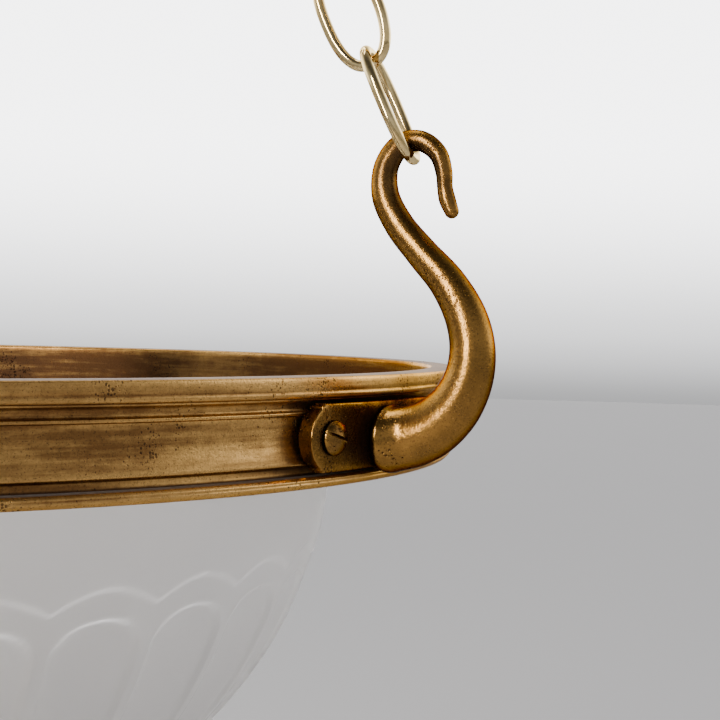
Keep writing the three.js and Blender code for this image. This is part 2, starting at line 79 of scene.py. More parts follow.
# A profile of [radius, height] turned about Z; it runs upwards on its outer side
def turned(profile, columns=96):
    angles = np.linspace(0, 2 * np.pi, columns, endpoint=False)
    poleLow, poleHigh = profile[0][0] < 1e-6, profile[-1][0] < 1e-6
    ringPart = profile[1 if poleLow else 0:len(profile) - 1 if poleHigh else len(profile)]
    points = [(r * math.cos(a), r * math.sin(a), z) for r, z in ringPart for a in angles]
    rows = len(ringPart)
    faces = gridFaces(rows, columns, closeRows=not (poleLow or poleHigh))
    if poleLow:
        points.append((0, 0, profile[0][1]))
        faces += [(len(points) - 1, (j + 1) % columns, j) for j in range(columns)]
    if poleHigh:
        points.append((0, 0, profile[-1][1]))
        last = (rows - 1) * columns
        faces += [(len(points) - 1, last + j, last + (j + 1) % columns) for j in range(columns)]
    return np.array(points), faces


# Corners [radius, height, fillet] as a line with every corner rounded by its fillet
def rounded(corners, steps=4, closed=True):
    line = []
    count = len(corners)
    for i, (x, z, fillet) in enumerate(corners):
        here = np.array([x, z], float)
        if fillet <= 0 or (not closed and i in (0, count - 1)):
            line.append(tuple(here))
            continue
        before = np.array(corners[i - 1][:2], float) - here
        after = np.array(corners[(i + 1) % count][:2], float) - here
        reach = min(fillet, 0.49 * np.linalg.norm(before), 0.49 * np.linalg.norm(after))
        a = here + before / np.linalg.norm(before) * reach
        b = here + after / np.linalg.norm(after) * reach
        for t in np.linspace(0, 1, steps + 1):
            line.append(tuple((1 - t) ** 2 * a + 2 * t * (1 - t) * here + t ** 2 * b))
    return line


# The same line with no run longer than the step, closed round to its start
def dense(line, step=1.0):
    out = []
    for a, b in zip(line, line[1:] + line[:1]):
        parts = max(1, math.ceil(math.dist(a, b) / step))
        out += [tuple(np.array(a) + (np.array(b) - np.array(a)) * k / parts) for k in range(parts)]
    return out


# A smooth line through stations of any width (place and diameter together), even along its length
def smoothLine(stations, count):
    s = np.array(stations, float)
    along = np.concatenate([[0], np.cumsum(np.linalg.norm(np.diff(s[:, :3], axis=0), axis=1) ** 0.5)])
    slope = np.gradient(s, along, axis=0)
    fine = np.linspace(0, along[-1], 12 * count)
    k = np.clip(np.searchsorted(along, fine, side="right") - 1, 0, len(along) - 2)
    h = (along[k + 1] - along[k])[:, None]
    t = ((fine - along[k]) / h[:, 0])[:, None]
    line = ((2 * t ** 3 - 3 * t ** 2 + 1) * s[k] + (t ** 3 - 2 * t ** 2 + t) * h * slope[k]
            + (-2 * t ** 3 + 3 * t ** 2) * s[k + 1] + (t ** 3 - t ** 2) * h * slope[k + 1])
    length = np.concatenate([[0], np.cumsum(np.linalg.norm(np.diff(line[:, :3], axis=0), axis=1))])
    even = np.linspace(0, length[-1], count)
    return np.stack([np.interp(even, length, line[:, c]) for c in range(s.shape[1])], axis=1)


# A round bar of changing diameter along a line [x, y, z, diameter]; its ends are domed
def swept(line, sides=32, closed=False, across=(0, 1, 0), dome=6):
    centres, radii = line[:, :3], line[:, 3] / 2
    if not closed:
        headSlope = centres[0] - centres[1]
        tailSlope = centres[-1] - centres[-2]
        turn = np.linspace(0, math.pi / 2, dome + 1)[1:]
        head = [centres[0] + headSlope / np.linalg.norm(headSlope) * radii[0] * math.sin(a) for a in turn[::-1]]
        tail = [centres[-1] + tailSlope / np.linalg.norm(tailSlope) * radii[-1] * math.sin(a) for a in turn]
        shrink = np.maximum(np.cos(turn), 0.02)
        centres = np.concatenate([head, centres, tail])
        radii = np.concatenate([radii[0] * shrink[::-1], radii, radii[-1] * shrink])
    if closed:
        tangent = np.roll(centres, -1, axis=0) - np.roll(centres, 1, axis=0)
    else:
        tangent = np.gradient(centres, axis=0)
    tangent /= np.linalg.norm(tangent, axis=1)[:, None]
    side = np.cross(np.asarray(across, float), tangent)
    side /= np.linalg.norm(side, axis=1)[:, None]
    up = np.cross(tangent, side)
    angles = np.linspace(0, 2 * np.pi, sides, endpoint=False)
    points = (centres[:, None] + radii[:, None, None] * (side[:, None] * np.cos(angles)[None, :, None]
              + up[:, None] * np.sin(angles)[None, :, None])).reshape(-1, 3)
    rows = len(centres)
    faces = gridFaces(rows, sides, closeRows=closed)
    if not closed:
        faces.append(tuple(range(sides))[::-1])
        faces.append(tuple((rows - 1) * sides + j for j in range(sides)))
    return points, faces


def joined(*parts):
    points, faces, start = [], [], 0
    for p, f in parts:
        points.append(np.asarray(p, float))
        faces += [tuple(start + i for i in face) for face in f]
        start += len(p)
    return np.concatenate(points), faces


def placed(part, turn=0, shift=(0, 0, 0), tilt=None):
    points, faces = part
    matrix = np.array(Matrix.Rotation(math.radians(turn), 3, "Z"))
    if tilt is not None:
        matrix = matrix @ np.array(tilt)
    return np.asarray(points) @ matrix.T + np.array(shift, float), faces


# One solid cut from, joined with or limited to another, as points and faces
def combined(part, other, operation="DIFFERENCE"):
    made = []
    for points, faces in (part, other):
        mesh = bpy.data.meshes.new("part")
        mesh.from_pydata([tuple(p) for p in np.asarray(points, float)], [], faces)
        obj = bpy.data.objects.new("part", mesh)
        bpy.context.scene.collection.objects.link(obj)
        made.append(obj)
    modifier = made[0].modifiers.new("combine", "BOOLEAN")
    modifier.operation, modifier.solver, modifier.object = operation, "EXACT", made[1]
    bpy.context.view_layer.update()
    mesh = bpy.data.meshes.new_from_object(made[0].evaluated_get(bpy.context.evaluated_depsgraph_get()))
    result = (np.array([v.co[:] for v in mesh.vertices]), [tuple(face.vertices) for face in mesh.polygons])
    for obj in made:
        bpy.data.objects.remove(obj)
    bpy.data.meshes.remove(mesh)
    return result


def rod(radius, low, high, sides=48):
    return turned([(0, low), (radius, low), (radius, high), (0, high)], sides)


def torus(radius, wire, segments=72, sides=24):
    turns = np.linspace(0, 2 * math.pi, segments + 1)[:-1]
    ring = [(radius * math.cos(a), radius * math.sin(a), 0, wire) for a in turns]
    return swept(np.array(ring), sides, closed=True, across=(0, 0, 1))


def readOut(items, key, width=1, kind=float):
    values = np.empty(len(items) * width, kind)
    items.foreach_get(key, values)
    return values.reshape(-1, width) if width > 1 else values


# How far each point stands out of its surroundings, -1 in hollows to 1 on edges, kept as "wear"
def markWear(obj, rounds=10, reach=0.35):
    mesh = obj.data
    count = len(mesh.vertices)
    co = readOut(mesh.vertices, "co", 3) / mm
    normal = readOut(mesh.vertices, "normal", 3)
    edges = readOut(mesh.edges, "vertices", 2, int)
    degree = np.maximum(np.bincount(edges.ravel(), minlength=count), 1)[:, None]
    smooth = co.copy()
    for _ in range(rounds):
        total = np.zeros_like(smooth)
        for axis in range(3):
            total[:, axis] = (np.bincount(edges[:, 0], smooth[edges[:, 1], axis], count)
                              + np.bincount(edges[:, 1], smooth[edges[:, 0], axis], count))
        smooth = total / degree
    wear = np.clip(np.einsum("ij,ij->i", co - smooth, normal) / reach, -1, 1)
    mesh.attributes.new("wear", "FLOAT", "POINT").data.foreach_set("value", wear.astype(np.float32))
    return obj


# Darkens chosen points: painted shade where parts meet, together with old dirt; lowering their wear value makes them
# take the dirt colour
def paintShadeAndDirt(obj, amounts):
    wear = obj.data.attributes["wear"].data
    wear.foreach_set("value", np.clip(readOut(wear, "value") - amounts, -1, 1).astype(np.float32))
    return obj


# Shader helpers

def node(tree, kind, inputs=None, **settings):
    made = tree.nodes.new(kind)
    for key, value in settings.items():
        setattr(made, key, value)
    for key, value in (inputs or {}).items():
        if isinstance(value, bpy.types.NodeSocket):
            tree.links.new(value, made.inputs[key])
        else:
            made.inputs[key].default_value = value
    return made


def math2(tree, operation, a, b=0.0, clamp=False):
    return node(tree, "ShaderNodeMath", {0: a, 1: b}, operation=operation, use_clamp=clamp).outputs[0]


def sums(tree):  # plus, minus and times in one tree
    return [partial(math2, tree, operation) for operation in ("ADD", "SUBTRACT", "MULTIPLY")]


def ramp(tree, value, low, high):
    made = node(tree, "ShaderNodeMapRange", {"Value": value, "From Min": low, "From Max": high})
    made.interpolation_type = "SMOOTHSTEP"
    return made.outputs["Result"]


def blendColour(tree, amount, a, b, mode="MIX"):
    made = node(tree, "ShaderNodeMix", {"Factor": amount}, data_type="RGBA", blend_type=mode)
    for socket, value in ((made.inputs[6], a), (made.inputs[7], b)):  # the two colour sockets
        if isinstance(value, bpy.types.NodeSocket):
            tree.links.new(value, socket)
        else:
            socket.default_value = value
    return made.outputs[2]


def noise(tree, place, scale, detail=4, roughness=0.55, stretch=(1, 1, 1)):
    spread = node(tree, "ShaderNodeMapping", {"Vector": place, "Scale": stretch})
    made = node(tree, "ShaderNodeTexNoise",
                {"Vector": spread.outputs[0], "Scale": scale, "Detail": detail, "Roughness": roughness})
    return made.outputs["Fac"]


def ownPlace(tree):
    return node(tree, "ShaderNodeTexCoord").outputs["Object"]


def linear(red, green, blue):
    return tuple(((c / 255 + 0.055) / 1.055) ** 2.4 if c > 10 else c / 255 / 12.92 for c in (red, green, blue)) + (1,)


# Tarnish, dirt in the hollows, rubbed edges and dark specks on old brass; points whose wear value was lowered for
# painted shade take the dirt colour through the hollow mask, and upward faces take a grey that is dust and partly a
# painted reflection
def makePatina():
    group = bpy.data.node_groups.new("agedPatina", "ShaderNodeTree")
    colours = ("Brass", "Tarnish", "Dirt And Shade", "Colour")
    given = ("Brass", "Tarnish", "Dirt And Shade", "Patch Scale", "Tarnish Amount", "Speck Amount", "Streak", "Polish", "Dust And Sheen")
    for way, names in (("INPUT", given), ("OUTPUT", ("Colour", "Roughness", "Height"))):
        for name in names:
            kind = "NodeSocketColor" if name in colours else "NodeSocketFloat"
            group.interface.new_socket(name=name, in_out=way, socket_type=kind)
    given = node(group, "NodeGroupInput").outputs
    plus, minus, times = sums(group)
    place = ownPlace(group)
    wear = node(group, "ShaderNodeAttribute", attribute_name="wear").outputs["Fac"]
    broadPlace = node(group, "ShaderNodeVectorMath", {0: place, "Scale": given["Patch Scale"]},
                      operation="SCALE").outputs[0]
    broad = noise(group, broadPlace, 1.0, 3, 0.5)
    streaks = noise(group, broadPlace, 1.6, 5, 0.6, stretch=(1, 1, 16))  # long, level marks of polishing
    mottle = noise(group, place, 230, 5, 0.6)
    grain = noise(group, place, 1500, 3, 0.65)
    tone = plus(times(broad, 0.62), times(mottle, 0.38))
    tone = plus(tone, times(minus(streaks, 0.5), given["Streak"]))
    tone = minus(tone, times(wear, 0.12))
    tarnish = ramp(group, minus(tone, minus(1.0, given["Tarnish Amount"])), -0.24, 0.24)
    # Hollow mask: dirt in real hollows, plus painted shade where the wear value was lowered for it
    hollowDirtAndShade = ramp(group, times(wear, -1.0), 0.15, 0.9)
    rubbed = ramp(group, wear, 0.3, 0.95)
    cells = node(group, "ShaderNodeTexVoronoi", {"Vector": place, "Scale": 1500}).outputs
    chance = node(group, "ShaderNodeSeparateColor", {0: cells["Color"]}).outputs[0]
    crowd = ramp(group, noise(group, place, 60, 3, 0.6), 0.38, 0.72)  # specks come in groups
    few = minus(1.0, times(given["Speck Amount"], plus(crowd, 0.12)))
    specks = ramp(group, minus(times(minus(chance, few), 0.9), cells["Distance"]), -0.05, 0.12)
    pits = ramp(group, noise(group, place, 2600, 2, 0.6), 0.56, 0.7)
    normal = node(group, "ShaderNodeNewGeometry").outputs["Normal"]
    upward = node(group, "ShaderNodeSeparateXYZ", {0: normal}).outputs["Z"]
    # Grey on upward-facing surfaces: dust, and partly a painted reflection of the pale room above, seen on the ring's
    # rim top
    dustAndSheen = times(ramp(group, upward, 0.8, 1.0), given["Dust And Sheen"])
    colour = blendColour(group, tarnish, given["Brass"], given["Tarnish"])
    for amount, layer in ((times(rubbed, 0.45), given["Brass"]), (times(specks, 0.75), given["Dirt And Shade"]),
                          (times(pits, times(given["Speck Amount"], 0.8)), given["Dirt And Shade"]),
                          (times(hollowDirtAndShade, 0.8), given["Dirt And Shade"]), (dustAndSheen, dustAndSheenGrey)):
        colour = blendColour(group, amount, colour, layer)
    shade = plus(0.62, times(grain, 0.76))
    grey = node(group, "ShaderNodeCombineColor", {0: shade, 1: shade, 2: shade}).outputs[0]
    colour = blendColour(group, 1.0, colour, grey, "MULTIPLY")
    rough = given["Polish"]
    for amount, share in ((tarnish, 0.1), (specks, 0.2), (hollowDirtAndShade, 0.2), (dustAndSheen, 0.3)):
        rough = plus(rough, times(amount, share))
    rough = plus(rough, times(minus(grain, 0.5), 0.2), clamp=True)
    height = plus(minus(times(grain, 0.4), times(specks, 0.6)), times(mottle, 0.5))
    node(group, "NodeGroupOutput", {"Colour": colour, "Roughness": rough, "Height": height})
    return group


# Dark colour of dirt, also used for painted shade near the lugs and hook roots
dirtAndShade = linear(46, 33, 28)
# Grey of dust, also a painted reflection on upward faces
dustAndSheenGrey = (0.21, 0.2, 0.205, 1)
patina = makePatina()


def shaderMaterial(name, **sockets):
    material = bpy.data.materials.new(name)
    material.use_nodes = True
    shader = material.node_tree.nodes["Principled BSDF"]
    for key, value in sockets.items():
        shader.inputs[key.replace("_", " ")].default_value = value
    return material, material.node_tree, shader


def feed(tree, shader, sockets):
    for key, value in sockets.items():
        tree.links.new(value, shader.inputs[key])


def brassMaterial(name, look):
    material, tree, shader = shaderMaterial(name, Metallic=1.0, Specular_Tint=look["edge"])
    effect = node(tree, "ShaderNodeGroup", node_tree=patina)
    for socket, key in (("Brass", "brass"), ("Tarnish", "tarnish"), ("Dirt And Shade", "dirtAndShade"), ("Patch Scale", "patches"),
                        ("Tarnish Amount", "tarnishAmount"), ("Speck Amount", "specks"), ("Streak", "streak"),
                        ("Polish", "polish"), ("Dust And Sheen", "dustAndSheen")):
        effect.inputs[socket].default_value = look[key]
    bump = node(tree, "ShaderNodeBump", {"Height": effect.outputs["Height"], "Strength": look["relief"],
                                         "Distance": 0.0002})
    feed(tree, shader, {"Base Color": effect.outputs["Colour"], "Roughness": effect.outputs["Roughness"],
                        "Normal": bump.outputs[0]})
    return material


agedBrass = brassMaterial("agedBrass", dict(
    brass=linear(209, 164, 96), tarnish=linear(120, 85, 48), dirtAndShade=dirtAndShade, edge=(0.45, 0.36, 0.28, 1), patches=16,
    tarnishAmount=0.52, specks=0.75, streak=1.1, polish=0.28, relief=0.8, dustAndSheen=0.9))
castBrass = brassMaterial("castBrass", dict(
    brass=linear(164, 122, 62), tarnish=linear(82, 60, 36), dirtAndShade=dirtAndShade, edge=(0.1, 0.085, 0.075, 1), patches=42,
    tarnishAmount=0.62, specks=0.85, streak=0.0, polish=0.18, relief=0.95, dustAndSheen=0.0))
tubeBrass = brassMaterial("tubeBrass", dict(
    brass=linear(196, 158, 86), tarnish=linear(146, 108, 52), dirtAndShade=dirtAndShade, edge=(0.5, 0.42, 0.32, 1), patches=30,
    tarnishAmount=0.46, specks=0.25, streak=0.3, polish=0.18, relief=0.25, dustAndSheen=0.35))
chainBrass = brassMaterial("chainBrass", dict(
    brass=linear(236, 212, 156), tarnish=linear(206, 172, 104), dirtAndShade=linear(90, 66, 38), edge=(0.8, 0.7, 0.5, 1),
    patches=120, tarnishAmount=0.44, specks=0.1, streak=0.0, polish=0.06, relief=0.06, dustAndSheen=0.0))
platedSteel = brassMaterial("platedSteel", dict(
    brass=linear(190, 188, 182), tarnish=linear(150, 146, 138), dirtAndShade=linear(80, 74, 66), edge=(0.9, 0.9, 0.9, 1),
    patches=90, tarnishAmount=0.4, specks=0.12, streak=0.2, polish=0.2, relief=0.1, dustAndSheen=0.0))


def makeFrosted():
    material, tree, shader = shaderMaterial("frostedGlass", Transmission_Weight=0.8, IOR=1.46)
    plus, minus, times = sums(tree)
    clouds = noise(tree, ownPlace(tree), 9, 4, 0.5)
    grain = noise(tree, ownPlace(tree), 1500, 2, 0.5)
    bump = node(tree, "ShaderNodeBump", {"Height": grain, "Strength": 0.12, "Distance": 0.0001})
    feed(tree, shader, {"Base Color": blendColour(tree, clouds, linear(222, 220, 219), linear(232, 231, 230)),
                        "Roughness": plus(0.42, times(clouds, 0.12)), "Normal": bump.outputs[0]})
    return material


def makeClear():
    material, tree, shader = shaderMaterial("clearGlass", Transmission_Weight=0.9, IOR=1.5)
    plus, minus, times = sums(tree)
    veil = noise(tree, ownPlace(tree), 30, 3, 0.5)
    feed(tree, shader, {"Base Color": blendColour(tree, veil, linear(250, 248, 244), linear(242, 240, 234)),
                        "Roughness": plus(0.03, times(veil, 0.06))})
    return material


def makeMoulding():
    material, tree, shader = shaderMaterial("mouldedResin")
    plus, minus, times = sums(tree)
    swirl = noise(tree, ownPlace(tree), 120, 5, 0.6)
    mix = blendColour(tree, ramp(tree, swirl, 0.35, 0.7), linear(40, 26, 20), linear(74, 48, 34))
    feed(tree, shader, {"Base Color": mix, "Roughness": plus(0.3, times(swirl, 0.25))})
    return material


frostedGlass, clearGlass, mouldedResin = makeFrosted(), makeClear(), makeMoulding()
print("materials made")


def finished(obj, body, material, *nodes):
    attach(obj, body)
    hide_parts(*nodes)
    return obj


def piece(name, part, material, body, *nodes, sharp=None, wear=None):
    obj = meshObject(name, *part, material, sharp=sharp)
    if wear:
        markWear(obj, *wear)
    return finished(obj, body, material, *nodes)


# Moulded ring round the bowl

ringShape = dict(bore=190, face=198.3, height=26, ledge=20.5, ledgeEdge=163.4, ledgeThick=3, segments=360)


def galleryRing(s):
    face, low, ledge = s["face"], -s["height"], -s["ledge"]
    corners = [
        (s["bore"] + 2, low, 0.8), (face - 2.8, low, 1.2), (face - 1.6, low + 1.2, 0.6),
        (face - 1.75, low + 1.75, 0.2), (face - 1.6, low + 2.2, 0.5), (face - 2.4, low + 3.0, 0.5),
        (face - 4.4, low + 3.2, 0.6), (face - 4.5, low + 5.0, 0.3), (face - 3.4, low + 5.7, 0.35),
        (face - 3.55, low + 7.2, 1.0), (face - 4.1, low + 11.0, 3.0), (face - 3.9, low + 16.0, 1.0),
        (face - 3.75, low + 16.8, 0.2), (face - 3.2, low + 17.1, 0.25), (face - 3.1, low + 17.7, 0.25),
        (face - 3.5, low + 18.0, 0.2), (face - 3.8, low + 18.5, 0.4), (face - 3.4, low + 19.8, 0.6),
        (face - 2.3, low + 20.5, 0.3), (face - 2.2, low + 20.9, 0.2), (face - 0.7, low + 21.0, 0.5),
        (face - 0.05, low + 21.9, 0.6), (face - 0.3, low + 22.6, 0.3), (face, low + 23.4, 0.5),
        (face, -0.2, 1.1), (face - 1.2, 0, 0.6), (s["bore"] + 0.7, 0, 0.5), (s["bore"], -0.7, 0.5),
        (s["bore"], ledge, 0.6), (s["ledgeEdge"], ledge, 0.6), (s["ledgeEdge"], ledge - s["ledgeThick"], 0.6),
        (s["bore"] + 2, ledge - s["ledgeThick"], 0.8)]
    points, faces = turned(dense(rounded(corners, 3), 1.2), s["segments"])
    ring = meshObject("galleryRing", points + [0, 0, rim], faces, agedBrass, sharp=50)
    markWear(ring, rounds=12, reach=0.35)
    # Painted shade with grime: the frieze is darkened near each lug, most in the rows behind it; the ring's inner face
    # is darkened as well
    angle = np.degrees(np.arctan2(points[:, 1], points[:, 0]))
    away = np.min([np.abs((angle - azimuth + 180) % 360 - 180) for azimuth in azimuths], axis=0)
    down, out = -points[:, 2], np.hypot(points[:, 0], points[:, 1])
    behindLug = smooth01(down, 5, 6.5) * (1 - smooth01(down, 21, 23)) * (out > s["bore"] + 2)
    return paintShadeAndDirt(ring, (1 - smooth01(away, 9, 15)) * (0.12 + 0.5 * behindLug) + 0.25 * (out < s["bore"] + 1))


finished(galleryRing(ringShape), "pendant", agedBrass, "gallery_ring")
print("ring made")


# Pressed glass bowl: flutes under arches, in a band that runs to the foot

bowlShape = dict(radius=160.4, depth=127, neck=30, wall=5, lipFoot=20.2, lipThick=4.5, lipRadius=186.5,
                 petals=32, archTop=58.2, archRise=9.5, fluteDepth=1.5, rib=0.11,
                 scallopTop=50.0, scallopDip=5.0, scallopStep=0.6, footRadius=20)


def glassBowl(s):
    half = np.array([0.06, 0.22, 0.38, 0.52, 0.64, 0.74, 0.81, 0.87, 0.92, 0.975])
    within = np.concatenate([-half[::-1], half])
    pitch = 2 * np.pi / s["petals"]
    angles = (np.arange(s["petals"])[:, None] * pitch + pitch / 2 * within[None, :]).ravel()
    angles = angles - math.pi / 2 + pitch / 2  # first hook comes between two petals
    bandTop = -s["scallopTop"] + 4
    bandFoot = -s["archTop"] - 18
    heights = np.concatenate([np.linspace(-s["neck"], bandTop, 6)[:-1], np.linspace(bandTop, bandFoot, 42)])
    drop = np.arcsin(np.clip((-heights - s["neck"]) / s["depth"], 0, 1))
    drop = np.concatenate([drop, np.linspace(drop[-1], math.pi / 2, 50)[1:]])
    radius = s["radius"] * np.cos(drop)
    height = -s["neck"] - s["depth"] * np.sin(drop)
    offset = np.abs(np.tile(within, s["petals"]))[None, :]  # 0 mid petal, 1 between petals
    z = height[:, None]
    r = radius[:, None]
    t = np.clip((-s["archTop"] - z) / s["archRise"], 0, 1)
    halfWidth = (1 - s["rib"]) * np.sqrt(np.maximum(1 - (1 - t) ** 2, 0))
    flute = smooth01(halfWidth - offset, -0.01, 0.11) * smooth01(-z, s["archTop"] - 0.3, s["archTop"] + 1.2)
    flute = flute * (1 - 0.3 * (offset / 0.86) ** 2) * smooth01(r, s["footRadius"], s["footRadius"] + 22)
    scallop = smooth01(-s["scallopTop"] - s["scallopDip"] * offset ** 1.7 - z, -0.2, 1.1)
    sink = s["fluteDepth"] * flute + s["scallopStep"] * scallop * smooth01(r, s["footRadius"], s["footRadius"] + 8)
    normal = np.stack([np.cos(drop) / s["radius"], np.sin(drop) / s["depth"]], axis=1)
    normal /= np.linalg.norm(normal, axis=1)[:, None]
    rowsR = r - sink * normal[:, :1]
    rowsZ = z + sink * normal[:, 1:]
    outer = np.stack([rowsR * np.cos(angles), rowsR * np.sin(angles), rowsZ + 0 * angles], axis=2)[::-1]
    lipFoot, lipTop, innerRadius = -s["lipFoot"], -s["lipFoot"] + s["lipThick"], s["radius"] - s["wall"]
    lip = rounded([(s["radius"], -s["neck"], 0), (s["radius"], lipFoot - 3, 2.5), (s["radius"] + 3, lipFoot, 1.5),
                   (s["lipRadius"], lipFoot, 1.8), (s["lipRadius"], lipTop, 1.8), (innerRadius, lipTop, 3.5),
                   (innerRadius, -s["neck"], 0)], 3, closed=False)
    inside = [(innerRadius * math.cos(a), -s["neck"] - (s["depth"] - s["wall"]) * math.sin(a))
              for a in np.linspace(0, math.pi / 2, 24)[1:-1]]
    plain = np.array([[(pr * math.cos(a), pr * math.sin(a), pz) for a in angles] for pr, pz in lip[1:] + inside])
    rows = np.concatenate([outer[1:], plain])
    columns = len(angles)
    points = rows.reshape(-1, 3)
    faces = gridFaces(len(rows), columns)
    poles = np.array([[0, 0, height[-1]], [0, 0, -s["neck"] - s["depth"] + s["wall"]]])
    points = np.concatenate([points, poles])
    last = (len(rows) - 1) * columns
    faces += [(len(points) - 2, (j + 1) % columns, j) for j in range(columns)]
    faces += [(len(points) - 1, last + j, last + (j + 1) % columns) for j in range(columns)]
    return meshObject("glassBowl", points + [0, 0, rim], faces, frostedGlass, sharp=60)


finished(glassBowl(bowlShape), "bowl", frostedGlass, "glass_bowl")
print("bowl made")


# Cast hooks: lug plate bent to the ring, root collar, belly, neck, crook and flared tip

lugShape = dict(back=195.6, face=199.4, height=15.8, drop=14.1, screw=25, lobe=8, shoulder=4.2, cusp=0.55, bevel=0.45)
collarWide = dict(more=0.22, full=200.9, gone=206)  # root's collar is wider than it is high
hookStations = [  # out from the ring's axis, up from the rim, diameter
    (198.3, -15.5, 15.2), (199.3, -15.5, 16.2), (200.1, -15.5, 16.7), (201.0, -15.5, 16.6), (202.0, -15.4, 15.9),
    (203.4, -15.2, 15.5),
    (206.6, -14.4, 15.1), (211.6, -12.0, 14.2), (217.0, -6.9, 12.9), (220.4, 0.0, 11.7), (221.1, 7.0, 10.9),
    (219.3, 14.2, 10.1), (214.4, 22.2, 8.9), (207.4, 29.4, 7.9), (201.1, 36.4, 7.3), (197.3, 43.6, 6.8),
    (197.5, 50.5, 6.1), (201.3, 55.4, 5.6), (206.6, 56.1, 5.1), (211.1, 53.0, 4.6), (212.8, 48.4, 4.1),
    (213.1, 45.0, 3.8), (213.8, 42.0, 4.1), (215.0, 39.2, 3.5)]


def lugPlate(s):
    screw, lobe, top = s["screw"], s["lobe"], s["height"] / 2
    lobeAngle = math.acos(s["shoulder"] / lobe)
    shoulder = screw + s["shoulder"]
    end = [(screw + lobe * math.cos(a), lobe * math.sin(a)) for a in np.linspace(0.03, lobeAngle, 16)]
    end += [(shoulder - 0.05, top - s["cusp"] - 0.2), (shoulder - 0.15, top - s["cusp"]),
            (shoulder - 1.0, top - s["cusp"] + 0.1), (shoulder - 1.3, top)]
    end += [(x, top) for x in np.linspace(shoulder - 2.5, 0, 26)]
    stations = end + [(-x, h) for x, h in end[::-1][1:]]
    points = []
    for across, h in stations:
        bevel = min(s["bevel"], 0.4 * h)
        corners = [(s["back"], -h, bevel / 2), (s["face"], -h, bevel), (s["face"], h, bevel), (s["back"], h, bevel / 2)]
        section = rounded(corners, 3)
        face = [(s["face"], z) for z in np.linspace(-h + bevel, h - bevel, 14)[1:-1]]
        section = section[:8] + face + section[8:]
        a = across / s["face"]
        points += [(r * math.cos(a), r * math.sin(a), z - s["drop"]) for r, z in section]
    sides = len(section)
    faces = gridFaces(len(stations), sides)
    faces.append(tuple(range(sides))[::-1])
    faces.append(tuple((len(stations) - 1) * sides + j for j in range(sides)))
    return np.array(points), faces


def castHook(number, azimuth):
    stations = [(out, 0, up, diameter) for out, up, diameter in hookStations]
    horn, hornFaces = swept(smoothLine(stations, 170), sides=44)
    low = horn[:, 2] < 0
    near = 1 - smooth01(horn[:, 0], collarWide["full"], collarWide["gone"])
    horn[:, 1] *= 1 + collarWide["more"] * near * low
    bare, faces = joined(lugPlate(lugShape), (horn, hornFaces))
    points, faces = placed((bare, faces), azimuth, (0, 0, rim))
    hook = meshObject(f"castHook{number}", points, faces, castBrass, sharp=38)
    # Painted shade with grime on the lug plate round the root, in the cove where the collar meets the plate
    rootShadeAndDirt = (1 - smooth01(np.abs(bare[:, 1]), 10, 19)) * (1 - smooth01(bare[:, 0], 199.6, 201.2)) * (bare[:, 2] < 0)
    return paintShadeAndDirt(markWear(hook, rounds=10, reach=0.25), 0.9 * rootShadeAndDirt)


for number, azimuth in enumerate(azimuths, 1):
    finished(castHook(number, azimuth), "pendant", castBrass, f"hook_{number}")
print("hooks made")


# Geometry node trees

def geometryTree(name, inputs):
    tree = bpy.data.node_groups.new(name, "GeometryNodeTree")
    tree.interface.new_socket(name="Geometry", in_out="INPUT", socket_type="NodeSocketGeometry")
    for label, kind in inputs:
        tree.interface.new_socket(name=label, in_out="INPUT", socket_type=kind)
    tree.interface.new_socket(name="Geometry", in_out="OUTPUT", socket_type="NodeSocketGeometry")
    return tree, node(tree, "NodeGroupInput").outputs


def closeTree(tree, geometry, material):
    real = node(tree, "GeometryNodeRealizeInstances", {0: geometry})
    coloured = node(tree, "GeometryNodeSetMaterial", {"Geometry": real.outputs[0], "Material": material})
    node(tree, "NodeGroupOutput", {0: coloured.outputs[0]})


# Runs a tree on a mesh and returns the result as a plain mesh object
def grown(name, tree, settings, seed=None):
    carrier = bpy.data.objects.new(name + "Carrier", seed or bpy.data.meshes.new(name + "Seed"))
    bpy.context.scene.collection.objects.link(carrier)
    modifier = carrier.modifiers.new("grow", "NODES")
    modifier.node_group = tree
    for item in tree.interface.items_tree:
        if item.in_out == "INPUT" and item.name in settings:
            modifier[item.identifier] = settings[item.name]
    carrier.data.update()
    bpy.context.view_layer.update()
    evaluated = carrier.evaluated_get(bpy.context.evaluated_depsgraph_get())
    mesh = bpy.data.meshes.new_from_object(evaluated)
    mesh.name = name
    bpy.data.objects.remove(carrier)
    obj = bpy.data.objects.new(name, mesh)
    bpy.context.scene.collection.objects.link(obj)
    return obj


